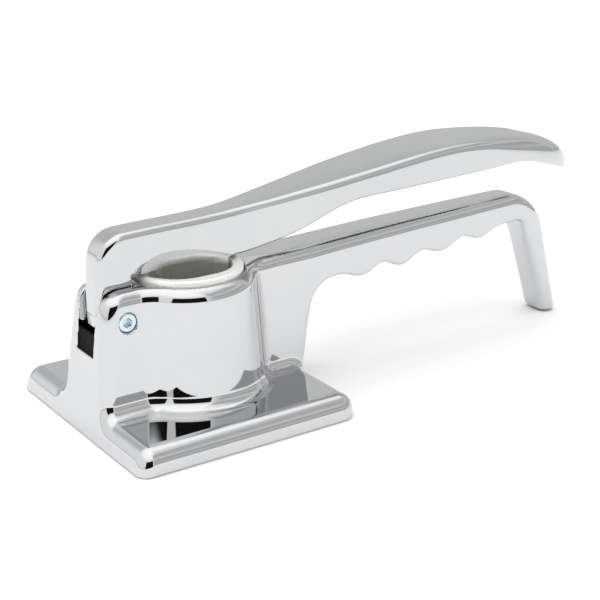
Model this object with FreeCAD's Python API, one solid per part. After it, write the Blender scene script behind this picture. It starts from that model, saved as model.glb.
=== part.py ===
import FreeCAD, Part
import os, math

V = FreeCAD.Vector
os.makedirs("parts", exist_ok=True)

# ---------------------------------------------------------------------------
# Table-top garlic press.  Millimetres, +Z up, table plane at z = 0.
# The shapes are drawn with the well's axis at x = y = 0 and the handle
# pointing to +X, then moved by SHIFT so that the origin is under the middle of
# the whole press.
# ---------------------------------------------------------------------------

# base plate
BASE_X0, BASE_X1 = -43.6, 41.1     # rear and front edge
BASE_HW = 44.7                     # half width
BASE_H = 8.7
BASE_CORNER = 6.0                  # plan corner radius
BASE_TOP_R = 4.4                   # rounding of the top edge
CAST_Z0 = 0.5                      # the casting stands on pads, this far up
SHELL = 3.2                        # wall over the hollow underside

# well
WELL_R_LOW, WELL_R_TOP = 27.0, 23.8
WELL_TOP = 49.7
WELL_RIM_R = 4.4
SEAT_R = 20.2                      # bore that takes the cup
SEAT_Z = 17.0
OUTLET_R = 15.0

# cheeks and the lever's slot
CHEEK_HW_LOW, CHEEK_HW_TOP = 16.4, 12.0
CHEEK_X1 = -10.0
CHEEK_TOP = 49.6
CHEEK_R = 4.0
SLOT_HW = 6.1
SLOT_X1 = -22.7
SLOT_Z = 27.4

# lever hinge
PX, PZ = -29.2, 39.8
SLEEVE_R = 3.0
SLEEVE_HL = 9.6
SHANK_R = 1.97
THREAD_R = 2.0
HEAD_R, HEAD_H = 3.3, 2.8
CBORE_R = 3.5
BUSH_R = 4.5
BUSH_BORE_R = 3.05
LEVER_HT = 5.5                     # half thickness of the lever's boss
STEM_HT = 5.5                      # half thickness of the stem in the cup
WASHER_T = 0.3
WASHER_R = 5.6

# cup
CUP_R = 19.8
CUP_Z0, CUP_TOP = 18.0, 51.4
CAV_R = 13.2                       # cavity: two half rounds
CAV_DX = 2.8                       # centres at +-CAV_DX
SIEVE_SEAT_R = 16.6
SIEVE_R = 16.5
SIEVE_Z0, SIEVE_Z1 = 21.0, 22.5
SIEVE_HOLE_R = 0.9
SIEVE_PITCH = 3.1
RING_BORE_R = 14.2

# plunger
PUCK_R = 12.9
PUCK_DX = 0.7                      # disc centre, ahead of the pin
PUCK_Z0, PUCK_Z1 = 22.8, 26.4
PIN_X, PIN_Z = 0.0, 28.8
PIN_R = 2.0
TONGUE_BORE_R = 2.05
TONGUE_HT = 3.0
EAR_Y0, EAR_Y1 = 3.3, 7.2
EAR_R = 4.4
PIN_HL = 8.3

# handle and leg
LEG_HW = 5.8
TIP_X = 174.9

SHIFT = V(-(BASE_X0 + TIP_X) / 2.0, 0, 0)


def prism_xz(pts, hy):
    """closed outline in the XZ plane, from y = -hy to +hy"""
    w = Part.makePolygon([V(x, -hy, z) for x, z in pts] + [V(pts[0][0], -hy, pts[0][1])])
    return Part.Face(w).extrude(V(0, 2 * hy, 0))


def prism_xy(pts, z0, z1):
    w = Part.makePolygon([V(x, y, z0) for x, y in pts] + [V(pts[0][0], pts[0][1], z0)])
    return Part.Face(w).extrude(V(0, 0, z1 - z0))


def prism_yz(pts, x0, x1):
    w = Part.makePolygon([V(x0, y, z) for y, z in pts] + [V(x0, pts[0][0], pts[0][1])])
    return Part.Face(w).extrude(V(x1 - x0, 0, 0))


def cyl_y(x, z, r, y0, y1):
    return Part.makeCylinder(r, y1 - y0, V(x, y0, z), V(0, 1, 0))


def cyl_z(x, y, r, z0, z1):
    return Part.makeCylinder(r, z1 - z0, V(x, y, z0), V(0, 0, 1))


def rounded(shape, r, pick, label):
    """round the edges that pick chooses; a smaller radius is used if the full one doesn't close"""
    edges = [e for e in shape.Edges if pick(e)]
    for k in (1.0, 0.8, 0.6, 0.4):
        try:
            s = shape.makeFillet(r * k, edges)
            if s.isValid() and s.Volume > 0:
                print("rounding", label, len(edges), "edges, r", r * k)
                return s
        except Exception:
            pass
    print("rounding", label, "left sharp")
    return shape


def mid(e):
    return e.valueAt(0.5 * (e.FirstParameter + e.LastParameter))


def one(shape):
    s = shape.removeSplitter()
    sol = s.Solids
    return sol[0] if len(sol) == 1 else s


def obround(r, dx, z0, z1, cx=0.0):
    a = cyl_z(cx - dx, 0, r, z0, z1)
    b = cyl_z(cx + dx, 0, r, z0, z1)
    m = Part.makeBox(2 * dx, 2 * r, z1 - z0, V(cx - dx, -r, z0))
    return one(a.fuse([b, m]))


def save(name, shape):
    solids = shape.Solids
    s = solids[0] if len(solids) == 1 else Part.makeCompound(solids)
    s = s.copy()
    s.translate(SHIFT)
    s.exportStep("parts/%s.step" % name)
    bb = s.BoundBox
    print("%-18s solids %d valid %s vol %.1f  x %.2f..%.2f y %.2f..%.2f z %.2f..%.2f" % (
        name, len(solids), s.isValid(), s.Volume, bb.XMin, bb.XMax, bb.YMin, bb.YMax, bb.ZMin, bb.ZMax))
    return s


# ------------------------------------------------------------------ casting
# base plate
base = Part.makeBox(BASE_X1 - BASE_X0, 2 * BASE_HW, BASE_H - CAST_Z0, V(BASE_X0, -BASE_HW, CAST_Z0))
base = rounded(base, BASE_CORNER, lambda e: abs(e.tangentAt(e.FirstParameter).z) > 0.99, "base corners")
base = rounded(base, BASE_TOP_R, lambda e: mid(e).z > BASE_H - 0.01, "base top")

# well: a drafted drum with a rounded rim
well = Part.makeCone(WELL_R_LOW, WELL_R_TOP, WELL_TOP - 4.0, V(0, 0, 4.0), V(0, 0, 1))
well = rounded(well, WELL_RIM_R, lambda e: mid(e).z > WELL_TOP - 0.01, "well rim")

# cheeks: a drafted block whose rear wall runs down into the base's rear side
side_xz = [(-43.3, CAST_Z0), (-41.6, 8.0), (-37.0, CHEEK_TOP), (CHEEK_X1, CHEEK_TOP), (CHEEK_X1, CAST_Z0)]
sec_yz = [(-CHEEK_HW_LOW, 0), (CHEEK_HW_LOW, 0), (CHEEK_HW_TOP, CHEEK_TOP + 0.4), (-CHEEK_HW_TOP, CHEEK_TOP + 0.4)]
cheeks = prism_xz(side_xz, 25).common(prism_yz(sec_yz, -60, 0))
cheeks = rounded(cheeks, CHEEK_R, lambda e: (mid(e).z > CHEEK_TOP - 0.01 and mid(e).x < CHEEK_X1 - 0.5)
                 or (abs(mid(e).y) > 10 and mid(e).x < -36 and mid(e).z > 10 and abs(e.tangentAt(e.FirstParameter).z) > 0.8),
                 "cheeks")

# web, handle and leg: outline in XZ, width in XY
top = [(8.0, 49.4), (25.0, 50.3), (46.0, 51.1), (61.0, 51.6), (77.0, 52.1), (93.0, 52.5), (109.0, 52.8),
       (125.0, 53.1), (141.0, 53.3)]
corner_r = 18.0
ang = math.radians(15.0)           # the leg leans out by this much
cz = 53.3 - corner_r
cx = 142.0
arc = [(cx + corner_r * math.sin(t), cz + corner_r * math.cos(t))
       for t in [math.radians(a) for a in range(7, 76, 6)]]
foot_out = (170.6, 3.0)
leg_out = [foot_out, (169.6, 1.0), (168.2, CAST_Z0)]
leg_in = [(160.4, CAST_Z0), (159.0, 1.2), (158.4, 3.0), (156.7, 9.7), (153.1, 23.3), (150.6, 32.9),
          (149.5, 36.4), (147.6, 39.0), (144.6, 41.0)]
under = [(138.5, 42.2), (134.4, 41.9), (130.9, 40.7), (127.9, 39.3), (124.9, 39.0), (121.4, 39.9), (118.3, 41.1),
         (114.9, 40.9), (111.0, 38.9), (108.4, 37.8), (104.5, 37.6), (101.6, 38.4), (98.6, 39.5), (94.8, 39.2),
         (91.5, 37.3), (89.1, 36.3), (85.3, 36.0), (82.0, 37.3), (79.1, 38.6), (75.9, 38.2), (72.6, 36.6),
         (70.4, 35.7), (66.6, 35.7), (63.5, 36.6), (61.1, 37.5), (57.6, 37.8), (54.5, 37.4), (52.3, 36.7),
         (50.1, 35.6), (48.3, 34.1), (46.4, 31.4), (45.1, 27.8), (44.2, 24.2), (43.7, 19.7), (43.0, 15.7),
         (43.0, 10.0), (42.0, 6.0)]


def curve_through(pts):
    c = Part.BSplineCurve()
    c.interpolate([V(x, 0, z) for x, z in pts])
    return c.toShape()


def line(a, b):
    return Part.makeLine(V(a[0], 0, a[1]), V(b[0], 0, b[1]))


low = [(36.0, 4.0), (8.0, 4.0)]
leg_a = (165.2, 23.2)              # two points down the straight outer side of the leg
leg_b = (167.9, 13.1)
edges = [curve_through(top + arc + [leg_a, leg_b, foot_out]),
         curve_through(leg_out), line(leg_out[-1], leg_in[0]), curve_through(leg_in[:3]), line(leg_in[2], leg_in[5]),
         curve_through(leg_in[5:] + under[:1]), curve_through(under[:-2]), line(under[-3], under[-2]),
         line(under[-2], under[-1]), line(under[-1], low[0]), line(low[0], low[1]), line(low[1], top[0])]
outline = Part.Wire(edges)
face = Part.Face(outline)
face.translate(V(0, -30, 0))
arm = face.extrude(V(0, 60, 0))
plan = [(6.0, 10.4), (25.0, 10.1), (46.0, 9.6), (61.0, 9.25), (77.0, 8.9), (93.0, 8.55), (109.0, 8.2),
        (125.0, 7.7), (141.0, 7.0), (150.0, 6.4), (160.0, LEG_HW), (178.0, LEG_HW)]


def plan_side(sign):
    c = Part.BSplineCurve()
    c.interpolate([V(x, sign * y, -5) for x, y in plan])
    return c.toShape()


sides = Part.Wire([plan_side(-1), Part.makeLine(V(plan[-1][0], -plan[-1][1], -5), V(plan[-1][0], plan[-1][1], -5)),
                   plan_side(1), Part.makeLine(V(plan[0][0], plan[0][1], -5), V(plan[0][0], -plan[0][1], -5))])
arm = arm.common(Part.Face(sides).extrude(V(0, 0, 80)))
arm = one(arm)


def arm_top(e):
    m = mid(e)
    return abs(m.y) > 4 and m.z > 40.0 and e.Length > 150


arm = rounded(arm, 3.6, arm_top, "handle top")
arm = rounded(arm, 1.2, lambda e: mid(e).x > 44 and abs(mid(e).y) > 4 and 8 < mid(e).z < 46 and e.Length > 5, "handle underside")

casting = base.fuse([well, cheeks, arm])
casting = one(casting)

# cup seat, outlet
casting = casting.cut(cyl_z(0, 0, SEAT_R, SEAT_Z, 80))
casting = casting.cut(cyl_z(0, 0, OUTLET_R, -5, SEAT_Z + 1))
# slot for the lever, open to the rear and above
casting = casting.cut(Part.makeBox(40, 2 * SLOT_HW, 60, V(SLOT_X1 - 40, -SLOT_HW, SLOT_Z)))
# hinge bore and the two counterbores
casting = casting.cut(cyl_y(PX, PZ, SLEEVE_R, -30, 30))
casting = casting.cut([cyl_y(PX, PZ, CBORE_R, -30, -SLEEVE_HL), cyl_y(PX, PZ, CBORE_R, SLEEVE_HL, 30)])
# hollow underside, with a boss at each foot pad and round the outlet
PADS = [(-33.5, -34.5), (-33.5, 34.5), (31.0, -34.5), (31.0, 34.5)]
hollow = Part.makeBox(BASE_X1 - BASE_X0 - 7.0, 2 * BASE_HW - 7.0, 5.5 + 5, V(BASE_X0 + 3.5, -BASE_HW + 3.5, -5))
hollow = hollow.cut([cyl_z(x, y, 9.0, -6, 10) for x, y in PADS] + [cyl_z(0, 0, 22.0, -6, 10)]
                    + [Part.makeBox(28, 26, 20, V(-46, -13, -6)), Part.makeBox(28, 15, 20, V(16, -7.5, -6))])
casting = casting.cut(hollow)
PAD_R, PAD_H = 6.0, 2.2
casting = casting.cut([cyl_z(x, y, PAD_R, -1, PAD_H) for x, y in PADS])
LEG_PAD = (160.9, 6.4, 3.6)        # x of the near edge, length, half width
casting = casting.cut(Part.makeBox(LEG_PAD[1], 2 * LEG_PAD[2], 3.0, V(LEG_PAD[0], -LEG_PAD[2], -1.0)))
casting = one(casting)
save("body_casting", casting)

# non-slip pads
save("foot_pads", Part.makeCompound([cyl_z(x, y, PAD_R, 0, PAD_H) for x, y in PADS]))
save("leg_pad", Part.makeBox(LEG_PAD[1], 2 * LEG_PAD[2], 2.0, V(LEG_PAD[0], -LEG_PAD[2], 0)))

# ---------------------------------------------------------------- the hinge
sleeve = cyl_y(PX, PZ, SLEEVE_R, -SLEEVE_HL, SLEEVE_HL).cut(cyl_y(PX, PZ, THREAD_R, -20, 20))
save("pivot_sleeve", sleeve)


def screw(sign):
    y_in = SLEEVE_HL * sign
    y_head = (SLEEVE_HL + HEAD_H) * sign
    y_tip = (SLEEVE_HL - 6.4) * sign
    head = cyl_y(PX, PZ, HEAD_R, min(y_in, y_head), max(y_in, y_head))
    head = rounded(head, 0.7, lambda e: abs(mid(e).y - y_head) < 0.01, "screw head")
    shank = cyl_y(PX, PZ, SHANK_R, min(y_in, y_tip), max(y_in, y_tip))
    s = head.fuse(shank)
    hexa = [(PX + 1.7 * math.cos(math.radians(60 * k + 15)), PZ + 1.7 * math.sin(math.radians(60 * k + 15)))
            for k in range(6)]
    w = Part.makePolygon([V(x, y_head, z) for x, z in hexa] + [V(hexa[0][0], y_head, hexa[0][1])])
    socket = Part.Face(w).extrude(V(0, -1.9 * sign, 0))
    return one(s.cut(socket))


save("pivot_screw_near", screw(-1))
save("pivot_screw_far", screw(1))


def ring_y(r0, r1, y0, y1):
    return cyl_y(PX, PZ, r1, y0, y1).cut(cyl_y(PX, PZ, r0, y0 - 1, y1 + 1))


save("washer_near", ring_y(BUSH_BORE_R, WASHER_R, -SLOT_HW, -SLOT_HW + WASHER_T))
save("washer_far", ring_y(BUSH_BORE_R, WASHER_R, SLOT_HW - WASHER_T, SLOT_HW))

# rubber block in the slot that the lever's tail comes to rest on when fully open
stop = prism_xz([(-38.3, SLOT_Z), (-26.0, SLOT_Z), (-26.0, 29.4), (-36.4, 29.4), (-37.1, 34.6), (-37.9, 34.6)], SLOT_HW - 0.05)
save("stop_block", stop)

# -------------------------------------------------------------------- lever
# crown and flanks: sections along X, (half width, top, drop of the edge below the top, underside, half width there)
LS = [(-42.0, 6.0, 67.6, 3.0, 53.4, 5.3), (-30.0, 6.0, 67.8, 3.0, 53.4, 5.3), (-15.0, 6.0, 68.2, 3.0, 53.4, 5.3),
      (0.0, 6.0, 68.3, 3.0, 53.2, 5.3), (14.0, 6.2, 68.9, 3.0, 53.0, 5.4), (28.0, 8.0, 70.4, 3.0, 54.4, 6.6),
      (42.0, 9.9, 72.25, 3.2, 57.9, 8.5), (56.0, 11.8, 74.2, 3.4, 63.8, 10.3), (70.0, 13.0, 76.1, 3.6, 65.9, 11.5),
      (84.0, 13.5, 77.9, 3.8, 66.4, 12.0), (98.0, 13.8, 79.3, 4.0, 66.8, 12.3), (112.0, 14.2, 80.0, 4.0, 67.3, 12.7),
      (126.0, 14.5, 79.5, 4.4, 67.8, 12.9), (138.0, 14.4, 78.0, 5.2, 68.1, 12.7), (148.0, 13.4, 76.3, 5.8, 66.9, 11.7),
      (156.0, 11.9, 74.5, 6.4, 64.4, 10.2), (162.0, 10.2, 72.7, 6.6, 62.3, 8.6), (167.0, 8.1, 70.6, 6.4, 60.4, 6.7),
      (171.0, 5.6, 68.0, 5.6, 59.3, 4.5), (TIP_X, 2.2, 63.6, 2.6, 59.9, 1.7)]


def lever_section(x, w, zt, e, zb, b):
    half = [(0.0, zt), (0.50 * w, zt - 0.10 * e), (0.82 * w, zt - 0.38 * e), (w, zt - e), (b, zb)]
    pts = [(y, z) for y, z in half] + [(-y, z) for y, z in reversed(half[1:])]
    return Part.makePolygon([V(x, y, z) for y, z in pts] + [V(x, pts[0][0], pts[0][1])])


crown = Part.makeLoft([lever_section(*s) for s in LS], True, False)
rear = [(-33.9, 59.9), (-33.4, 61.5), (-32.2, 64.2), (-30.8, 66.2), (-28.6, 67.5)]
keep = [(-36.2, 30.0), (-36.2, 44.0), (-35.9, 49.0), (-35.2, 54.0), (-34.3, 58.5)] + rear + \
       [(-24.0, 90.0), (200.0, 90.0), (200.0, 30.0)]
keep[len(keep) - 3] = (-28.0, 90.0)
crown = crown.common(prism_xz(keep, 40))
neck = prism_xz([(-36.2, 35.2), (-35.6, 34.8), (PX, 34.8), (-23.0, PZ), (-23.0, 52.4), (-14.4, 52.4), (-14.4, 58.0),
                 (-34.4, 58.0), (-35.2, 54.0), (-35.9, 49.0), (-36.2, 44.0)], LEVER_HT)
boss = cyl_y(PX, PZ, 6.2, -LEVER_HT, LEVER_HT)
# arc behind the stem, round the hinge, so that the stem swings up out of the cup
stem = prism_xz([(-15.5, 52.4), (-14.3, 52.4), (-13.0, 50.2), (-11.7, 47.6), (-10.7, 44.8), (-10.1, 42.0), (-4.3, 41.2),
                 (-4.0, 34.2), (4.0, 34.2), (4.8, 41.0), (11.0, 43.0), (14.1, 47.5), (14.2, 52.2), (22.0, 52.7),
                 (22.0, 58.0), (-15.5, 58.0)], STEM_HT)
tongue = prism_xz([(PIN_X - 3.8, PIN_Z), (PIN_X + 3.8, PIN_Z), (PIN_X + 3.8, 38.0), (PIN_X - 3.8, 38.0)], TONGUE_HT)
eye = cyl_y(PIN_X, PIN_Z, 3.95, -TONGUE_HT, TONGUE_HT)
lever = crown.fuse([neck, boss, stem, tongue, eye])
lever = lever.cut([cyl_y(PX, PZ, BUSH_R, -20, 20), cyl_y(PIN_X, PIN_Z, TONGUE_BORE_R, -20, 20)])
lever = one(lever)
save("lever_casting", lever)
save("lever_bush", cyl_y(PX, PZ, BUSH_R, -LEVER_HT, LEVER_HT).cut(cyl_y(PX, PZ, BUSH_BORE_R, -20, 20)))

# ---------------------------------------------------------------------- cup
cup = cyl_z(0, 0, CUP_R, CUP_Z0, CUP_TOP)
cup = rounded(cup, 1.9, lambda e: mid(e).z > CUP_TOP - 0.01, "cup rim outside")
cup = cup.cut(obround(CAV_R, CAV_DX, SIEVE_Z1, CUP_TOP + 1))
cup = cup.cut(cyl_z(0, 0, SIEVE_SEAT_R, CUP_Z0 - 1, SIEVE_Z1))
cup = one(cup)
cup = rounded(cup, 1.6, lambda e: mid(e).z > CUP_TOP - 0.01 and math.hypot(mid(e).x, mid(e).y) < 17, "cup mouth")
save("press_cup", cup)

# perforated disc and the ring under it
sieve = cyl_z(0, 0, SIEVE_R, SIEVE_Z0, SIEVE_Z1)
holes = []
n = 6
for i in range(-n, n + 1):
    for j in range(-n, n + 1):
        x = SIEVE_PITCH * (i + 0.5 * j)
        y = SIEVE_PITCH * math.sqrt(3) / 2 * j
        if math.hypot(x, y) < 12.2:
            holes.append(cyl_z(x, y, SIEVE_HOLE_R, SIEVE_Z0 - 1, SIEVE_Z1 + 1))
print("sieve holes", len(holes))
sieve = sieve.cut(Part.makeCompound(holes))
save("sieve_plate", sieve)
save("sieve_ring", cyl_z(0, 0, SIEVE_R, CUP_Z0, SIEVE_Z0).cut(cyl_z(0, 0, RING_BORE_R, 0, 40)))
save("cup_seal", cyl_z(0, 0, 19.9, SEAT_Z, CUP_Z0).cut(cyl_z(0, 0, 16.6, 0, 40)))

# ------------------------------------------------------------------ plunger
disc = cyl_z(PUCK_DX, 0, PUCK_R, PUCK_Z0, PUCK_Z1)
disc = rounded(disc, 0.6, lambda e: abs(e.tangentAt(e.FirstParameter).z) < 0.1 and e.Length > 20, "puck edge")
ears = []
for s in (-1, 1):
    y0, y1 = sorted((s * EAR_Y0, s * EAR_Y1))
    ear = cyl_y(PIN_X, PIN_Z, EAR_R, y0, y1).fuse(
        Part.makeBox(2 * EAR_R, y1 - y0, PIN_Z - PUCK_Z1 + 1.0, V(PIN_X - EAR_R, y0, PUCK_Z1 - 1.0)))
    ears.append(ear.common(Part.makeBox(40, 40, 20, V(-20, -20, PUCK_Z0 + 0.8))))
puck = disc.fuse(ears)
puck = puck.cut(Part.makeBox(13.4, 2 * EAR_Y0, 20, V(-8.8, -EAR_Y0, 24.4)))
puck = puck.cut([cyl_y(PIN_X, PIN_Z, PIN_R, -20, 20), cyl_y(PIN_X, PIN_Z, 3.7, EAR_Y1, PIN_HL + 0.3),
                 cyl_y(PIN_X, PIN_Z, 3.7, -PIN_HL - 0.3, -EAR_Y1)])
puck = one(puck)
save("plunger_head", puck)
save("plunger_pin", cyl_y(PIN_X, PIN_Z, PIN_R, -PIN_HL, PIN_HL))
clips = [cyl_y(PIN_X, PIN_Z, 3.4, y0, y0 + 0.6).cut(cyl_y(PIN_X, PIN_Z, PIN_R, -20, 20)) for y0 in (-7.9, 7.3)]
save("plunger_clips", Part.makeCompound(clips))
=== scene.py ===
import bpy, math, time
import numpy as np
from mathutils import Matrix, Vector


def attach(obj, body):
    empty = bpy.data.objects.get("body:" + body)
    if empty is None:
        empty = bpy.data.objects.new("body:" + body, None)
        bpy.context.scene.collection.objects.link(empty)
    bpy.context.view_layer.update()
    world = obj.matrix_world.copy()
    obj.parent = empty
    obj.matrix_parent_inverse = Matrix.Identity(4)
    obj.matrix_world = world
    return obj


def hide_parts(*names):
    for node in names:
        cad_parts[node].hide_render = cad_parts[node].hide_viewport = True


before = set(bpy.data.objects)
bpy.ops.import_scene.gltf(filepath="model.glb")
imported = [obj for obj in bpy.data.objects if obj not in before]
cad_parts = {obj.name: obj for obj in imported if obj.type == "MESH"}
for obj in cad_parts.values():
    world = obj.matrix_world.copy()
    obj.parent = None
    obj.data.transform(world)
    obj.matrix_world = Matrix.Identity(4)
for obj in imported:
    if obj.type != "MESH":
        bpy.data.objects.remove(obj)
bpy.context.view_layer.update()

T0 = time.time()
MM = 0.001
SX = -65.65            # drawing frame (well axis at x = 0) to row frame, mm

# ---------------------------------------------------------------------------
# smooth shapes: signed distance functions in millimetres, meshed by a surface
# net whose vertices are then put exactly on the surface
# ---------------------------------------------------------------------------


def ru(a, b, r):
    """union with a concave fillet of radius r"""
    u = np.maximum(r - a, 0.0)
    v = np.maximum(r - b, 0.0)
    return np.maximum(r, np.minimum(a, b)) - np.sqrt(u * u + v * v)


def ri(a, b, r):
    """intersection with a rounded edge of radius r"""
    u = np.maximum(r + a, 0.0)
    v = np.maximum(r + b, 0.0)
    return np.minimum(-r, np.maximum(a, b)) + np.sqrt(u * u + v * v)


def sstep(x, a, b):
    t = np.clip((x - a) / (b - a), 0.0, 1.0)
    return t * t * (3 - 2 * t)


class Spline:
    """natural cubic through points, straight beyond its ends, read from a dense table"""

    def __init__(self, pts, step=0.05, smooth=0.0):
        x = np.array([p[0] for p in pts], float)
        y = np.array([p[1] for p in pts], float)
        n = len(x)
        h = np.diff(x)
        A = np.zeros((n, n))
        b = np.zeros(n)
        A[0, 0] = A[-1, -1] = 1.0
        for i in range(1, n - 1):
            A[i, i - 1], A[i, i], A[i, i + 1] = h[i - 1], 2 * (h[i - 1] + h[i]), h[i]
            b[i] = 6 * ((y[i + 1] - y[i]) / h[i] - (y[i] - y[i - 1]) / h[i - 1])
        m = np.linalg.solve(A, b)
        xt = np.arange(x[0], x[-1] + step, step)
        xt = np.minimum(xt, x[-1])
        k = np.clip(np.searchsorted(x, xt, side="right") - 1, 0, n - 2)
        t0 = x[k + 1] - xt
        t1 = xt - x[k]
        hk = h[k]
        yt = (m[k] * t0 ** 3 + m[k + 1] * t1 ** 3) / (6 * hk) + (y[k] / hk - m[k] * hk / 6) * t0 \
            + (y[k + 1] / hk - m[k + 1] * hk / 6) * t1
        if smooth:
            w = max(1, int(smooth / step))
            ker = np.hanning(2 * w + 1)
            ker /= ker.sum()
            pad = np.concatenate([2 * yt[0] - yt[w:0:-1], yt, 2 * yt[-1] - yt[-2:-w - 2:-1]])
            yt = np.convolve(pad, ker, mode="valid")
        s0 = (yt[1] - yt[0]) / step
        s1 = (yt[-2] - yt[-3]) / step
        far = 400.0
        self.x = np.concatenate([[xt[0] - far], xt, [xt[-1] + far]])
        self.y = np.concatenate([[yt[0] - s0 * far], yt, [yt[-1] + s1 * far]])

    def __call__(self, x):
        return np.interp(x, self.x, self.y).astype(x.dtype)

    def slope(self, x, e=0.25):
        return ((np.interp(x + e, self.x, self.y) - np.interp(x - e, self.x, self.y)) / (2 * e)).astype(x.dtype)


def axis_points(spans):
    """grid lines from (start, end, step) spans that follow one another"""
    out = [np.array([spans[0][0]])]
    for a, b, s in spans:
        n = max(1, int(round((b - a) / s)))
        out.append(np.linspace(a, b, n + 1)[1:])
    return np.concatenate(out)


def surface_net(f, xs, ys, zs, relax=2):
    nx, ny, nz = len(xs), len(ys), len(zs)
    D = np.empty((nx, ny, nz), np.float32)
    Y, Z = np.meshgrid(ys, zs, indexing="ij")
    step = max(1, int(400000 / (ny * nz)))
    for i in range(0, nx, step):
        j = min(nx, i + step)
        X = np.broadcast_to(xs[i:j, None, None], (j - i, ny, nz)).astype(np.float32)
        YY = np.broadcast_to(Y[None], (j - i, ny, nz)).astype(np.float32)
        ZZ = np.broadcast_to(Z[None], (j - i, ny, nz)).astype(np.float32)
        D[i:j] = f(X, YY, ZZ)
    S = D < 0
    cnt = np.zeros((nx - 1, ny - 1, nz - 1), np.int8)
    offs = [(a, b, c) for a in (0, 1) for b in (0, 1) for c in (0, 1)]
    for a, b, c in offs:
        cnt += S[a:nx - 1 + a, b:ny - 1 + b, c:nz - 1 + c]
    act = (cnt > 0) & (cnt < 8)
    I, J, K = np.nonzero(act)
    n = len(I)
    idx = np.full(act.shape, -1, np.int32)
    idx[I, J, K] = np.arange(n, dtype=np.int32)
    P = np.zeros((n, 3))
    W = np.zeros(n)
    edges = []
    for a, b, c in offs:
        for ax in range(3):
            d = [a, b, c]
            if d[ax] == 0:
                e = list(d)
                e[ax] = 1
                edges.append((tuple(d), tuple(e)))
    for p, q in edges:
        dp = D[I + p[0], J + p[1], K + p[2]].astype(float)
        dq = D[I + q[0], J + q[1], K + q[2]].astype(float)
        m = (dp < 0) != (dq < 0)
        t = np.where(m, dp / np.where(m, dp - dq, 1.0), 0.0)
        px = xs[I + p[0]] * (1 - t) + xs[I + q[0]] * t
        py = ys[J + p[1]] * (1 - t) + ys[J + q[1]] * t
        pz = zs[K + p[2]] * (1 - t) + zs[K + q[2]] * t
        P[m] += np.stack([px[m], py[m], pz[m]], 1)
        W[m] += 1
    P /= W[:, None]
    quads = []
    # x edges
    for ax in range(3):
        A = [slice(0, None)] * 3
        B = [slice(0, None)] * 3
        A[ax] = slice(0, -1)
        B[ax] = slice(1, None)
        o1, o2 = [k for k in range(3) if k != ax]
        A[o1] = B[o1] = slice(1, -1)
        A[o2] = B[o2] = slice(1, -1)
        sa, sb = S[tuple(A)], S[tuple(B)]
        ii = np.nonzero(sa != sb)
        g = [None] * 3
        g[ax] = ii[ax]
        g[o1] = ii[o1] + 1
        g[o2] = ii[o2] + 1

        def cell(d1, d2):
            k = [None] * 3
            k[ax] = g[ax]
            k[o1] = g[o1] + d1
            k[o2] = g[o2] + d2
            return idx[k[0], k[1], k[2]]

        q = np.stack([cell(-1, -1), cell(0, -1), cell(0, 0), cell(-1, 0)], 1)
        flip = sa[ii]
        if ax == 1:
            flip = ~flip
        q[~flip] = q[~flip][:, ::-1]
        quads.append(q)
    Q = np.concatenate(quads)

    def grad(P, e=0.04):
        g = np.empty_like(P)
        for k in range(3):
            o = np.zeros(3)
            o[k] = e
            A, B = P + o, P - o
            g[:, k] = (f(A[:, 0], A[:, 1], A[:, 2]) - f(B[:, 0], B[:, 1], B[:, 2])) / (2 * e)
        return g

    def project(P, times):
        for _ in range(times):
            g = grad(P)
            d = f(P[:, 0], P[:, 1], P[:, 2])
            l2 = np.maximum((g * g).sum(1), 0.05)
            s = (d / l2)[:, None] * g
            ln = np.sqrt((s * s).sum(1))
            s *= np.minimum(1.0, 0.6 / np.maximum(ln, 1e-9))[:, None]
            P = P - s
        return P

    P = project(P, 3)
    for _ in range(relax):
        acc = np.zeros_like(P)
        num = np.zeros(n)
        for a, b in ((0, 1), (1, 2), (2, 3), (3, 0)):
            np.add.at(acc, Q[:, a], P[Q[:, b]])
            np.add.at(num, Q[:, a], 1)
            np.add.at(acc, Q[:, b], P[Q[:, a]])
            np.add.at(num, Q[:, b], 1)
        M = acc / np.maximum(num, 1)[:, None]
        g = grad(P)
        g /= np.maximum(np.sqrt((g * g).sum(1)), 1e-6)[:, None]
        d = M - P
        d -= (d * g).sum(1)[:, None] * g
        P = project(P + 0.5 * d, 2)
    N = grad(P, 0.05)
    N /= np.maximum(np.sqrt((N * N).sum(1)), 1e-9)[:, None]
    return P, Q, N


def mesh_object(name, P, Q, N=None):
    me = bpy.data.meshes.new(name)
    V = P.copy()
    V[:, 0] += SX
    V *= MM
    me.vertices.add(len(V))
    me.vertices.foreach_set("co", V.astype(np.float32).ravel())
    me.loops.add(Q.size)
    me.loops.foreach_set("vertex_index", Q.astype(np.int32).ravel())
    me.polygons.add(len(Q))
    me.polygons.foreach_set("loop_start", np.arange(0, Q.size, 4, dtype=np.int32))
    me.polygons.foreach_set("use_smooth", np.ones(len(Q), bool))
    me.update(calc_edges=True)
    me.validate()
    if N is not None and len(me.vertices) == len(N):
        me.normals_split_custom_set_from_vertices(N.astype(np.float32).tolist())
    ob = bpy.data.objects.new(name, me)
    bpy.context.scene.collection.objects.link(ob)
    return ob


def made(name, f, xs, ys, zs, body, node, mat, relax=2):
    t = time.time()
    P, Q, N = surface_net(f, xs, ys, zs, relax)
    lo, hi = P.min(0), P.max(0)
    ob = mesh_object(name, P, Q, N)
    ob.data.materials.append(mat)
    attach(ob, body)
    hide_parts(node)
    print("%s: %d vertices, %.1f s, box %s %s" % (name, len(P), time.time() - t, np.round(lo, 2), np.round(hi, 2)))
    return ob


# ---------------------------------------------------------------------------
# casting: base, well, cheeks, web, handle and leg in one
# ---------------------------------------------------------------------------
Z0 = 0.12
BASE_X0, BASE_X1, BASE_HW, BASE_H = -43.3, 41.1, 44.7, 8.7
PX, PZ = -29.2, 39.8

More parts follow.
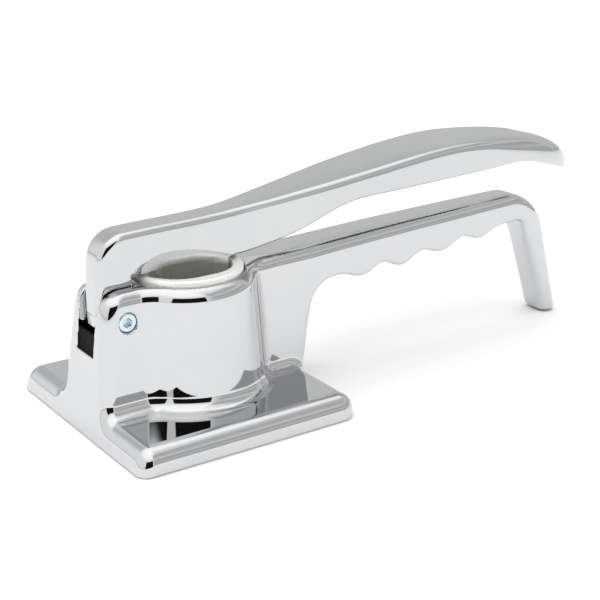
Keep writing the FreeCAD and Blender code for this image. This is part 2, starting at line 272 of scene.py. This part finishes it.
rear_line = Spline([(-6, -44.4), (0.5, -43.5), (8.0, -41.8), (20, -40.25), (33, -38.8), (38.5, -38.15), (41.5, -37.7), (44.5, -37.0), (47.0, -35.9),
                    (49.5, -34.3), (52.0, -32.3)], smooth=1.0)
top_line = Spline([(-60, 49.65), (-20, 49.65), (8, 49.65), (16, 49.75), (25.0, 50.25), (46.0, 51.1), (61.0, 51.6), (77.0, 52.1),
                   (93.0, 52.5), (109.0, 52.8), (125.0, 53.1), (141.0, 53.3), (160.0, 53.3)])
width_line = Spline([(6.0, 10.4), (25.0, 10.1), (46.0, 9.6), (61.0, 9.25), (77.0, 8.9), (93.0, 8.55), (109.0, 8.2),
                     (125.0, 7.7), (141.0, 7.1), (150.0, 6.7), (160.0, 6.45), (168.0, 6.4), (178.0, 6.4)], smooth=6)
under_line = Spline([(20.0, 37.4), (40.0, 37.6), (52, 37.8), (57.6, 37.8), (61.1, 37.5), (63.5, 36.6), (66.6, 35.75), (70.4, 35.7), (72.6, 36.5),
                     (75.9, 38.1), (79.1, 38.6), (82.0, 37.4), (85.3, 36.1), (89.1, 36.2), (91.5, 37.2), (94.8, 39.0), (98.6, 39.5), (101.6, 38.5),
                     (104.5, 37.7), (108.4, 37.8), (111.0, 38.8), (114.9, 40.8), (118.3, 41.1), (121.4, 40.0), (124.9, 39.1), (127.9, 39.4),
                     (130.9, 40.6), (134.4, 41.8), (138.5, 42.3), (145.0, 42.6), (165.0, 43.2)], smooth=0.9)
web_line = Spline([(-5, 41.2), (6, 41.6), (12, 42.9), (20, 43.9), (27, 45.2), (34, 46.6), (50, 50.0)], smooth=1.0)
LEG_A = math.radians(15.0)
LC, LS_ = math.cos(LEG_A), math.sin(LEG_A)


def rect2(x, y, x0, x1, hw, r):
    cx, hx = (x0 + x1) / 2, (x1 - x0) / 2
    qx = np.abs(x - cx) - hx + r
    qy = np.abs(y) - hw + r
    return np.sqrt(np.maximum(qx, 0) ** 2 + np.maximum(qy, 0) ** 2) + np.minimum(np.maximum(qx, qy), 0) - r


PADS = [(-33.5, -34.5), (-33.5, 34.5), (31.0, -34.5), (31.0, 34.5)]


def casting(x, y, z):
    ay = np.abs(y)
    rho = np.sqrt(x * x + y * y)
    # sides of the tower: well and cheeks
    well = (rho - (27.0 - 0.0702 * (z - 4.0))) * 0.9975
    cheek = np.maximum((ay - (16.4 - 0.0887 * z)) * 0.996, x + 10.0)
    tower = ru(well, cheek, 3.6)
    # arm: side faces, opening under it
    arm_side = (ay - width_line(x))
    zb = under_line(x)
    sb = under_line.slope(x)
    d_bot = (zb - z) / np.sqrt(1 + sb * sb)
    d_web = (x - web_line(z)) * 0.985
    xin = 150.2 + (36.0 - z) * 0.331
    d_leg = (xin - x) * 0.949
    inner = ru(ru(d_web, d_bot, 8.5), d_leg, 4.0)
    r_in = 1.3 + 2.6 * sstep(x, 142, 154)
    arm = ri(np.maximum(arm_side, 17.0 - x), inner, r_in)
    up = ru(tower, arm, 3.5)
    # common top and the leg's outer side
    crown = 0.010 * sstep(x, 25, 50)
    d_top = (z - (top_line(x) - crown * y * y))
    xo = 163.35 + (26.6 - z) * math.tan(LEG_A)
    d_out = (x - xo) * LC
    outer = ri(d_top, d_out, 15.0)
    r_top = 4.4 - 0.5 * sstep(x, 25, 60) - 0.4 * sstep(x, 150, 168)
    up = ri(up, outer, r_top)
    base = ri(rect2(x, y, -100.0, BASE_X1, BASE_HW, 6.0), z - BASE_H, 5.9)
    d = ru(base, up, 4.6 - 1.2 * sstep(x, 22, 30))
    sr = rear_line.slope(z)
    rear = (rear_line(z) - x) / np.sqrt(1 + sr * sr)
    d = ri(d, rear, 4.6)
    d = ri(d, Z0 - z, 0.3 + 2.0 * sstep(x, 60, 150))
    # cup seat and outlet
    seat = np.maximum(rho - 20.2, 17.0 - z)
    d = ri(d, -seat, 0.5)
    d = ri(d, -(rho - 15.0), 0.4)
    # slot for the lever
    slot = ri(ri(ay - 6.1, x + 22.7, 0.5), 27.4 - z, 0.4)
    d = ri(d, -slot, 0.35 + 0.55 * sstep(z, 40, 46))
    # counterbores and bore of the hinge
    rp = np.sqrt((x - PX) ** 2 + (z - PZ) ** 2)
    d = ri(d, -np.maximum(rp - 3.38, 9.6 - ay), 0.12)
    d = ri(d, -(rp - 3.0), 0.2)
    # hollow underside
    hol = ri(rect2(x, y, BASE_X0 + 3.2, BASE_X1 - 3.5, BASE_HW - 3.5, 3.0), z - 5.5, 1.0)
    for px, py in PADS:
        hol = ri(hol, 9.0 - np.sqrt((x - px) ** 2 + (y - py) ** 2), 1.0)
    hol = ri(hol, 22.0 - rho, 1.0)
    hol = ri(hol, -np.maximum(ay - 13.0, x + 18.0), 1.0)
    hol = ri(hol, -np.maximum(ay - 7.5, 16.0 - x), 1.0)
    d = ri(d, -hol, 0.5)
    for px, py in PADS:
        d = ri(d, -np.maximum(np.sqrt((x - px) ** 2 + (y - py) ** 2) - 6.0, z - 2.2), 0.25)
    d = ri(d, -np.maximum(np.maximum(np.abs(x - 166.2) - 2.3, ay - 3.6), z - 2.0), 0.25)
    return d


# ---------------------------------------------------------------------------
# lever
# ---------------------------------------------------------------------------
lv_top = Spline([(-60, 67.4), (-28, 67.9), (-14, 68.2), (0, 68.3), (7, 68.5), (14, 68.9), (21, 69.6), (28, 70.4), (35, 71.3), (42, 72.25),
                 (49, 73.2), (56, 74.2), (63, 75.2), (70, 76.1), (77, 77.0), (84, 77.9), (91, 78.7), (98, 79.3), (105, 79.75), (112, 79.95),
                 (119, 79.97), (126, 79.85), (133, 79.4), (141, 78.4), (150, 76.7), (156, 74.9), (162, 72.3), (167, 69.4), (171, 66.3), (175, 62.2), (180, 56.0)], smooth=2.5)
lv_w = Spline([(-60, 6.0), (-14, 6.0), (0, 6.0), (7, 6.05), (14, 6.3), (21, 7.0), (28, 8.0), (35, 8.95), (42, 9.9), (49, 10.9), (56, 11.8),
               (63, 12.5), (70, 13.05), (77, 13.4), (84, 13.7), (98, 14.0), (112, 14.35), (126, 14.5), (140, 14.5), (200, 14.5)], smooth=3)
lv_edge = Spline([(-60, 2.6), (40, 2.8), (70, 3.0), (98, 3.2), (112, 3.4), (119, 3.9), (126, 4.9), (133, 6.4), (141, 8.0), (150, 9.6), (156, 10.5), (164, 11.0), (171, 10.8), (180, 10.6)], smooth=3)
lv_b = Spline([(-60, 5.5), (14, 5.5), (22, 5.9), (28, 6.6), (35, 7.6), (42, 8.5), (49, 9.4), (56, 10.3), (63, 11.0), (70, 11.5), (84, 12.0),
               (98, 12.3), (112, 12.7), (126, 12.9), (138, 13.0), (150, 13.1), (200, 13.1)], smooth=3)
lv_bot = Spline([(-60, 52.4), (-20, 52.4), (14, 52.4), (22, 53.0), (28, 54.2), (35, 55.75), (42, 57.7), (49, 60.5), (56, 63.4), (63, 65.3), (70, 65.95),
                 (84, 66.4), (98, 66.85), (112, 67.35), (126, 67.85), (136, 68.2), (142, 68.0), (148, 66.95), (156, 64.4), (162, 62.3),
                 (167, 60.5), (171, 59.2), (180, 57.2)], smooth=3)
rear_lv = Spline([(20, -36.2), (36, -36.2), (44, -36.2), (49, -36.05), (54, -35.7), (58.5, -35.25), (64, -34.7), (70, -34.1), (80, -33.1)], smooth=1.5)
TIP0, TIPX = 128.0, 174.8


def lever(x, y, z):
    ay = np.abs(y)
    w = lv_w(x)
    e = lv_edge(x)
    zt = lv_top(x)
    zb = lv_bot(x)
    # plan taper at the palm end
    t = np.clip((x - TIP0) / (TIPX - TIP0), 0.0, 1.5)
    taper = np.sqrt(np.maximum(1.0 - t ** 2.4, 1e-3))
    wt = w * taper
    # domed top
    yy = np.minimum(ay / np.maximum(wt, 2.0), 1.3)
    dome = np.maximum(e - 2.8, 0.0) * yy ** 4 + 0.25 * yy ** 2
    dd = (4 * np.maximum(e - 2.8, 0.0) * yy ** 3 + 0.5 * yy) / np.maximum(wt, 2.0)
    s = lv_top.slope(x)
    d_top = (z - zt + dome) / np.sqrt(1 + s * s + dd * dd)
    # sides: upright at the crown, drawn in to a narrow rib below it
    b = lv_b(x) * taper
    h = np.maximum(zt - 2.8 - zb, 2.0)
    k = (z - zb) / h
    hw = b + (wt - b) * np.clip(k, 0.0, 2.0)
    sl = np.where(k > 0, (wt - b) / h, 0.0)
    dt = 2.4 * t ** 1.4 / (TIPX - TIP0) / (2 * taper) * w
    d_side = (ay - hw) / np.sqrt(1 + np.minimum(sl, 3.0) ** 2 + np.minimum(dt, 6.0) ** 2)
    sb = lv_bot.slope(x)
    d_bot = (zb - z) / np.sqrt(1 + sb * sb)
    # the stem: swings up out of the cup round the hinge, so it is hollowed behind
    rp = np.sqrt((x - PX) ** 2 + (z - PZ) ** 2)
    upper = ri(np.maximum(19.15 - rp, -(x + 14.25)), x - 14.1, 0.3)
    slope = (41.2 + np.maximum(x - 4.6, 0) * 0.42 + np.maximum(-4.3 - x, 0) * 0.13 - z) * 0.92
    upper = ri(upper, slope, 1.0)
    post = np.maximum(np.abs(x) - 4.1, 34.2 - z)
    low = ru(d_bot, ru(upper, post, 1.5), 0.8)
    # neck and tail between the cheeks
    neck = ru(np.maximum(x + 23.0, PZ - z), rp - 6.2, 0.05)
    neck = np.minimum(neck, ri(np.maximum(x - PX, 35.0 - z), -(x + 36.2), 0.5))
    low = np.minimum(low, neck)
    r1 = 2.4 + 0.9 * sstep(x, 20, 70)
    rear = (rear_lv(z) - x) * 0.99
    d = ri(ri(d_top, rear, 9.0), d_side, r1)
    d = ri(d, low, 1.0 - 0.3 * sstep(-x, -18, -14) + 1.7 * sstep(x, 152, 168))
    # tongue that carries the plunger
    re = np.sqrt(x * x + (z - 28.8) ** 2)
    tg = np.minimum(np.maximum(np.maximum(np.abs(x) - 3.8, 28.8 - z), z - 40.0), re - 3.95)
    tg = ri(tg, ay - 3.0, 0.4)
    d = ru(d, tg, 0.5)
    return ri(d, -(re - 2.05), 0.2)


def lever_all(x, y, z):
    d = lever(x, y, z)
    rp = np.sqrt((x - PX) ** 2 + (z - PZ) ** 2)
    return ri(d, -(rp - 4.5), 0.2)


# ---------------------------------------------------------------------------
# cup and plunger
# ---------------------------------------------------------------------------

def obround(x, y, r, dx):
    q = np.maximum(np.abs(x) - dx, 0.0)
    return np.sqrt(q * q + y * y) - r


def cup(x, y, z):
    rho = np.sqrt(x * x + y * y)
    d = ri(rho - 19.8, z - 51.4, 1.2)
    d = ri(d, -np.maximum(obround(x, y, 13.2, 2.8), 22.5 - z), 2.4)
    d = ri(d, -(np.maximum(rho - 16.6, z - 22.5)), 0.3)
    return ri(d, 18.0 - z, 0.4)


def puck(x, y, z):
    ay = np.abs(y)
    rho = np.sqrt((x - 0.7) ** 2 + y * y)
    d = ri(rho - 12.9, z - 26.4, 0.8)
    d = ri(d, 22.8 - z, 0.5)
    re = np.sqrt(x * x + (z - 28.8) ** 2)
    ear = np.minimum(re - 4.4, np.maximum(np.maximum(np.abs(x) - 4.4, z - 28.8), 23.4 - z))
    ear = ri(ear, np.abs(ay - 5.25) - 1.95, 0.5)
    d = ru(d, ear, 1.2)
    d = ri(d, -np.maximum(np.maximum(ay - 3.3, np.abs(x + 2.1) - 6.7), 24.4 - z), 0.3)
    return ri(d, -(re - 2.0), 0.2)

# ---------------------------------------------------------------------------
# materials: all of them built from nodes, in object space (metres)
# ---------------------------------------------------------------------------


def new_mat(name):
    m = bpy.data.materials.new(name)
    m.use_nodes = True
    nt = m.node_tree
    nt.nodes.clear()
    out = nt.nodes.new("ShaderNodeOutputMaterial")
    bs = nt.nodes.new("ShaderNodeBsdfPrincipled")
    nt.links.new(bs.outputs[0], out.inputs[0])
    return m, nt, bs


def noise(nt, scale, detail=2.0, rough=0.5, stretch=(1, 1, 1), dist=0.0):
    tc = nt.nodes.new("ShaderNodeTexCoord")
    mp = nt.nodes.new("ShaderNodeMapping")
    mp.inputs["Scale"].default_value = stretch
    nt.links.new(tc.outputs["Object"], mp.inputs[0])
    n = nt.nodes.new("ShaderNodeTexNoise")
    n.inputs["Scale"].default_value = scale
    n.inputs["Detail"].default_value = detail
    n.inputs["Roughness"].default_value = rough
    n.inputs["Distortion"].default_value = dist
    nt.links.new(mp.outputs[0], n.inputs["Vector"])
    return n


def ramp(nt, src, stops):
    r = nt.nodes.new("ShaderNodeValToRGB")
    el = r.color_ramp.elements
    while len(el) > 1:
        el.remove(el[-1])
    for k, (p, c) in enumerate(stops):
        e = el[0] if k == 0 else el.new(p)
        e.position = p
        e.color = (c[0], c[1], c[2], 1.0)
    nt.links.new(src, r.inputs[0])
    return r


def rrange(nt, src, a, b, c, d):
    r = nt.nodes.new("ShaderNodeMapRange")
    r.inputs[1].default_value, r.inputs[2].default_value = a, b
    r.inputs[3].default_value, r.inputs[4].default_value = c, d
    nt.links.new(src, r.inputs[0])
    return r


def bump(nt, bs, src, strength, dist):
    b = nt.nodes.new("ShaderNodeBump")
    b.inputs["Strength"].default_value = strength
    b.inputs["Distance"].default_value = dist
    nt.links.new(src, b.inputs["Height"])
    nt.links.new(b.outputs[0], bs.inputs["Normal"])
    return b


def chrome(name, tint_a, tint_b, rough_lo, rough_hi, ripple):
    """bright plate: faint haze and micro marks, and the slight ripple of a buffed casting"""
    m, nt, bs = new_mat(name)
    bs.inputs["Metallic"].default_value = 1.0
    n1 = noise(nt, 55.0, 3.0, 0.55)
    c = ramp(nt, n1.outputs["Fac"], [(0.3, tint_a), (0.7, tint_b)])
    nt.links.new(c.outputs[0], bs.inputs["Base Color"])
    n2 = noise(nt, 420.0, 4.0, 0.6, (1.0, 1.0, 0.35))
    r = rrange(nt, n2.outputs["Fac"], 0.35, 0.75, rough_lo, rough_hi)
    nt.links.new(r.outputs[0], bs.inputs["Roughness"])
    n3 = noise(nt, 38.0, 1.0, 0.4)
    bump(nt, bs, n3.outputs["Fac"], ripple, 0.0006)
    return m


M_CAST = chrome("plate_casting", (0.605, 0.61, 0.618), (0.622, 0.624, 0.628), 0.012, 0.05, 0.04)
M_LEVER = chrome("plate_lever", (0.595, 0.60, 0.608), (0.615, 0.617, 0.62), 0.012, 0.06, 0.04)


def satin(name, z_lo, z_hi):
    """turned cup: polished lip, greyer bead-blasted wall below it, the wall's olive tint a painted warm reflection
    """
    m, nt, bs = new_mat(name)
    tc = nt.nodes.new("ShaderNodeTexCoord")
    sp = nt.nodes.new("ShaderNodeSeparateXYZ")
    nt.links.new(tc.outputs["Object"], sp.inputs[0])
    lip = rrange(nt, sp.outputs[2], z_lo, z_hi, 0.0, 1.0)
    n1 = noise(nt, 90.0, 3.0, 0.55)
    # the wall's olive tint is a painted reflection of warm surroundings; the lip colour stays neutral
    wall = ramp(nt, n1.outputs["Fac"], [(0.3, (0.88, 0.87, 0.80)), (0.7, (0.93, 0.92, 0.86))])
    edge = ramp(nt, n1.outputs["Fac"], [(0.3, (0.90, 0.90, 0.88)), (0.7, (0.95, 0.95, 0.94))])
    mx = nt.nodes.new("ShaderNodeMix")
    mx.data_type = "RGBA"
    nt.links.new(lip.outputs[0], mx.inputs[0])
    nt.links.new(wall.outputs[0], mx.inputs[6])
    nt.links.new(edge.outputs[0], mx.inputs[7])
    nt.links.new(mx.outputs[2], bs.inputs["Base Color"])
    me = rrange(nt, lip.outputs[0], 0.0, 1.0, 0.05, 0.35)
    nt.links.new(me.outputs[0], bs.inputs["Metallic"])
    n2 = noise(nt, 320.0, 3.0, 0.6, (1.0, 1.0, 0.2))
    r = rrange(nt, n2.outputs["Fac"], 0.3, 0.7, 0.22, 0.36)
    nt.links.new(r.outputs[0], bs.inputs["Roughness"])
    return m


M_CUP = satin("satin_cup", 0.0492, 0.0508)


def steel(name, base, lo, hi, stretch=(1, 1, 1), scale=300.0, aniso=0.0):
    m, nt, bs = new_mat(name)
    bs.inputs["Metallic"].default_value = 1.0
    n1 = noise(nt, 90.0, 3.0, 0.6)
    a = tuple(v * 0.92 for v in base)
    b = tuple(min(1.0, v * 1.06) for v in base)
    c = ramp(nt, n1.outputs["Fac"], [(0.3, a), (0.7, b)])
    nt.links.new(c.outputs[0], bs.inputs["Base Color"])
    n2 = noise(nt, scale, 5.0, 0.65, stretch)
    r = rrange(nt, n2.outputs["Fac"], 0.3, 0.7, lo, hi)
    nt.links.new(r.outputs[0], bs.inputs["Roughness"])
    bump(nt, bs, n2.outputs["Fac"], 0.12, 0.00008)
    return m


def plastic(name, dark, light, lo, hi, grain, strength, spec=0.5):
    m, nt, bs = new_mat(name)
    n1 = noise(nt, 120.0, 4.0, 0.6)
    c = ramp(nt, n1.outputs["Fac"], [(0.3, dark), (0.7, light)])
    nt.links.new(c.outputs[0], bs.inputs["Base Color"])
    n2 = noise(nt, grain, 3.0, 0.6)
    r = rrange(nt, n2.outputs["Fac"], 0.3, 0.7, lo, hi)
    nt.links.new(r.outputs[0], bs.inputs["Roughness"])
    bump(nt, bs, n2.outputs["Fac"], strength, 0.0001)
    bs.inputs["Specular IOR Level"].default_value = spec
    return m


M_STAIN = steel("stainless_plunger", (0.66, 0.65, 0.63), 0.12, 0.28)
M_SIEVE = steel("stainless_sieve", (0.60, 0.60, 0.60), 0.18, 0.34, (1, 8, 1), 160.0)
M_STEEL = steel("ground_steel", (0.56, 0.57, 0.59), 0.18, 0.34, (1, 8, 1), 200.0)
M_ZINC = steel("zinc_plate", (0.66, 0.73, 0.77), 0.20, 0.36, (1, 1, 1), 500.0)
# black rubber of the feet; the same black is also painted shade where the stop block fills the slot's dark recess
# and where the leg pad's edge stands in for the contact shadow
M_BLACK_RUBBER_AND_SHADE = plastic("rubber_black_and_painted_shade", (0.003, 0.003, 0.0035), (0.006, 0.006, 0.0065), 0.6, 0.85, 900.0, 0.4, 0.12)
M_NYLON = plastic("nylon_natural", (0.62, 0.60, 0.54), (0.70, 0.68, 0.62), 0.35, 0.5, 500.0, 0.15)
M_SEAL = plastic("seal_grey", (0.10, 0.10, 0.105), (0.14, 0.14, 0.145), 0.45, 0.6, 600.0, 0.2)

# ---------------------------------------------------------------------------
# pieces
# ---------------------------------------------------------------------------
made("body_casting_form", casting,
     axis_points([(-45.5, -41.0, 0.5), (-41.0, 27.0, 0.55), (27.0, 45.0, 0.6), (45.0, 147.0, 0.75), (147.0, 174.0, 0.65)]),
     axis_points([(-46.0, -39.0, 0.55), (-39.0, -27.0, 0.9), (-27.0, 27.0, 0.55), (27.0, 39.0, 0.9), (39.0, 46.0, 0.55)]),
     axis_points([(-1.0, 10.0, 0.5), (10.0, 44.0, 0.62), (44.0, 55.0, 0.5)]),
     "frame", "body_casting", M_CAST)
made("lever_casting_form", lever_all,
     axis_points([(-37.5, 20.0, 0.5), (20.0, 146.0, 0.8), (146.0, 177.0, 0.6)]),
     axis_points([(-16.0, 16.0, 0.5)]),
     axis_points([(23.5, 82.0, 0.55)]),
     "lever", "lever_casting", M_LEVER)
made("press_cup_form", cup,
     axis_points([(-21.0, 21.0, 0.42)]), axis_points([(-21.0, 21.0, 0.42)]), axis_points([(17.0, 45.0, 0.7), (45.0, 53.0, 0.35)]),
     "frame", "press_cup", M_CUP)
made("plunger_head_form", puck,
     axis_points([(-13.5, 14.8, 0.35)]), axis_points([(-14.0, 14.0, 0.35)]), axis_points([(22.0, 34.0, 0.3)]),
     "plunger", "plunger_head", M_STAIN)


def cap_screw(x, y, z):
    """near screw: rounded button head with a hexagon socket, and its shank"""
    q, v = x - PX, z - PZ
    rp = np.sqrt(q * q + v * v)
    yo = -y
    head = ri(rp - 3.36, yo - 12.4, 0.6)
    head = ri(head, 9.62 - yo, 0.15)
    hx = np.full_like(rp, -9.0)
    for k in range(3):
        a = math.radians(60 * k + 45)
        hx = np.maximum(hx, np.abs(q * math.cos(a) + v * math.sin(a)) - 1.45)
    head = ri(head, -np.maximum(hx, 10.6 - yo), 0.25)
    shank = np.maximum(np.maximum(rp - 1.95, yo - 9.8), 3.25 - yo)
    return np.minimum(head, shank)


sx_ = axis_points([(-33.0, -25.4, 0.19)])
sy_ = axis_points([(-12.9, -9.2, 0.15), (-9.2, -2.9, 0.5)])
sz_ = axis_points([(36.0, 43.6, 0.19)])
made("pivot_screw_near_form", cap_screw, sx_, sy_, sz_, "frame", "pivot_screw_near", M_ZINC)
made("pivot_screw_far_form", lambda x, y, z: cap_screw(x, -y, z), sx_, -sy_[::-1], sz_, "frame", "pivot_screw_far", M_ZINC)


# pad under the leg's foot; its black edge also stands in for the contact shadow there, which is painted shade
def heel_pad(x, y, z):
    d = ri(np.abs(x - 166.2) - 2.25, np.abs(y) - 3.55, 0.8)
    return ri(ri(d, z - 2.0, 0.2), 0.02 - z, 0.3)


made("leg_pad_form", heel_pad,
     axis_points([(163.4, 169.0, 0.2)]), axis_points([(-4.2, 4.2, 0.25)]), axis_points([(-0.5, 2.5, 0.15)]),
     "frame", "leg_pad", M_BLACK_RUBBER_AND_SHADE)

# the stop block takes the black: a dark block set in the slot's floor below the lever's tail, where there is only
# shade, so its black is painted shade
CAD_MATS = {"pivot_sleeve": M_STEEL, "washer_near": M_NYLON,
            "washer_far": M_NYLON, "lever_bush": M_NYLON, "stop_block": M_BLACK_RUBBER_AND_SHADE, "foot_pads": M_BLACK_RUBBER_AND_SHADE,
            "sieve_plate": M_SIEVE, "sieve_ring": M_STAIN, "cup_seal": M_SEAL, "plunger_pin": M_STEEL, "plunger_clips": M_STEEL}
for node, mat in CAD_MATS.items():
    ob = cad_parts[node]
    ob.data.materials.clear()
    ob.data.materials.append(mat)

# ---------------------------------------------------------------------------
# camera
# ---------------------------------------------------------------------------
cam_d = bpy.data.cameras.new("camera")
cam = bpy.data.objects.new("camera", cam_d)
bpy.context.scene.collection.objects.link(cam)
cam_d.sensor_width = 36.0
cam_d.lens = 36.0 * 1459.6 / 600.0
cam_d.clip_start, cam_d.clip_end = 0.01, 50.0
cam.location = ((-231.5 + SX) * MM, -409.6 * MM, 213.2 * MM)
AZ, EL = math.radians(34.21), math.radians(20.5)
look = Vector((math.sin(AZ) * math.cos(EL), math.cos(AZ) * math.cos(EL), -math.sin(EL)))
cam.rotation_mode = "QUATERNION"
cam.rotation_quaternion = look.to_track_quat("-Z", "Y")
bpy.context.scene.camera = cam

# ---------------------------------------------------------------------------
# studio: pale floor, soft surround with a dark flag in front of the press
# ---------------------------------------------------------------------------
bpy.context.scene.view_settings.view_transform = "Standard"
bpy.context.scene.view_settings.look = "None"

world = bpy.data.worlds.new("studio")
bpy.context.scene.world = world
world.use_nodes = True
wt = world.node_tree
wt.nodes.clear()
w_out = wt.nodes.new("ShaderNodeOutputWorld")
w_bg = wt.nodes.new("ShaderNodeBackground")
wt.links.new(w_bg.outputs[0], w_out.inputs[0])
w_tc = wt.nodes.new("ShaderNodeTexCoord")
DIR = w_tc.outputs["Generated"]


def wmath(op, a, b=None, c=None, clamp=False):
    n = wt.nodes.new("ShaderNodeMath")
    n.operation = op
    n.use_clamp = clamp
    for k, v in enumerate((a, b, c)):
        if v is None:
            continue
        if isinstance(v, (int, float)):
            n.inputs[k].default_value = v
        else:
            wt.links.new(v, n.inputs[k])
    return n.outputs[0]


def wdot(vec):
    n = wt.nodes.new("ShaderNodeVectorMath")
    n.operation = "DOT_PRODUCT"
    wt.links.new(DIR, n.inputs[0])
    n.inputs[1].default_value = vec
    return n.outputs["Value"]


def wband(src, a, b, soft):
    """1 between a and b, with soft edges"""
    up = wt.nodes.new("ShaderNodeMapRange")
    up.interpolation_type = "SMOOTHSTEP"
    wt.links.new(src, up.inputs[0])
    up.inputs[1].default_value, up.inputs[2].default_value = a - soft, a + soft
    dn = wt.nodes.new("ShaderNodeMapRange")
    dn.interpolation_type = "SMOOTHSTEP"
    wt.links.new(src, dn.inputs[0])
    dn.inputs[1].default_value, dn.inputs[2].default_value = b - soft, b + soft
    return wmath("SUBTRACT", up.outputs[0], dn.outputs[0])


fwd = (-math.sin(AZ), -math.cos(AZ), 0.0)
rgt = (math.cos(AZ), -math.sin(AZ), 0.0)
azi = wmath("MULTIPLY", wmath("ARCTAN2", wdot(rgt), wdot(fwd)), 180.0 / math.pi)
ele = wmath("MULTIPLY", wmath("ARCSINE", wdot((0, 0, 1))), 180.0 / math.pi)


def wlevel(stops):
    """grey level against elevation in degrees"""
    n = wt.nodes.new("ShaderNodeValToRGB")
    wt.links.new(wmath("DIVIDE", wmath("ADD", ele, 90.0), 180.0), n.inputs[0])
    els = n.color_ramp.elements
    while len(els) > 1:
        els.remove(els[-1])
    for k, (p, v) in enumerate(stops):
        e_ = els[0] if k == 0 else els.new((p + 90.0) / 180.0)
        e_.position = (p + 90.0) / 180.0
        e_.color = (v / 1.5, v / 1.5, v / 1.5, 1)
    return wmath("MULTIPLY", n.outputs[0], 1.5)


def wmix(a, b, m):
    return wmath("ADD", wmath("MULTIPLY", a, wmath("SUBTRACT", 1.0, m)), wmath("MULTIPLY", b, m))


room = wlevel([(-90, 1.0), (-12, 1.0), (-8, 0.80), (2, 0.82), (6, 1.05), (40, 1.1), (52, 1.4), (90, 1.6)])
right = wlevel([(-90, 0.6), (-8, 0.58), (6, 0.58), (13, 0.70), (19, 0.58), (25, 0.54), (31, 0.84), (37, 0.74), (46, 0.58), (55, 0.70), (62, 1.1), (90, 1.6)])
backs = wlevel([(-90, 0.5), (-12, 0.48), (-3, 0.50), (5, 0.64), (12, 0.70), (24, 0.73), (32, 0.66), (42, 0.72), (50, 1.1), (62, 1.45), (90, 1.6)])
light = wmix(room, right, wband(azi, 44.0, 124.0, 9.0))
light = wmix(light, backs, wmath("SUBTRACT", 1.0, wband(azi, -124.0, 124.0, 9.0)))
flag = wmath("MULTIPLY", wband(azi, -19.0, 37.0, 0.8), wband(ele, -9.0, 36.0, 0.8))
light = wmath("MULTIPLY", light, wmath("SUBTRACT", 1.0, wmath("MULTIPLY", flag, 0.99)))
w_bg.inputs["Color"].default_value = (0.995, 0.998, 1.0, 1.0)
wt.links.new(light, w_bg.inputs["Strength"])

fm = bpy.data.meshes.new("floor")
S_ = 15.0
fm.from_pydata([(-S_, -S_, 0), (S_, -S_, 0), (S_, S_, 0), (-S_, S_, 0)], [], [(0, 1, 2, 3)])
floor = bpy.data.objects.new("floor", fm)
bpy.context.scene.collection.objects.link(floor)
fmat, ft, fb = new_mat("floor_paper")
fb.inputs["Roughness"].default_value = 0.9
fb.inputs["Specular IOR Level"].default_value = 0.0
fn = noise(ft, 4.0, 2.0, 0.5)
fr = ramp(ft, fn.outputs["Fac"], [(0.3, (0.955, 0.955, 0.96)), (0.7, (0.965, 0.965, 0.965))])
ft.links.new(fr.outputs[0], fb.inputs["Base Color"])
fm.materials.append(fmat)

key_d = bpy.data.lights.new("top_soft", "AREA")
key_d.shape = "SQUARE"
key_d.size = 1.6
key_d.energy = 10.0
key = bpy.data.objects.new("top_soft", key_d)
key.location = (-0.2, -0.1, 1.7)
bpy.context.scene.collection.objects.link(key)
key.visible_glossy = False

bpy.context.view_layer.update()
print("scene made in %.1f s" % (time.time() - T0))
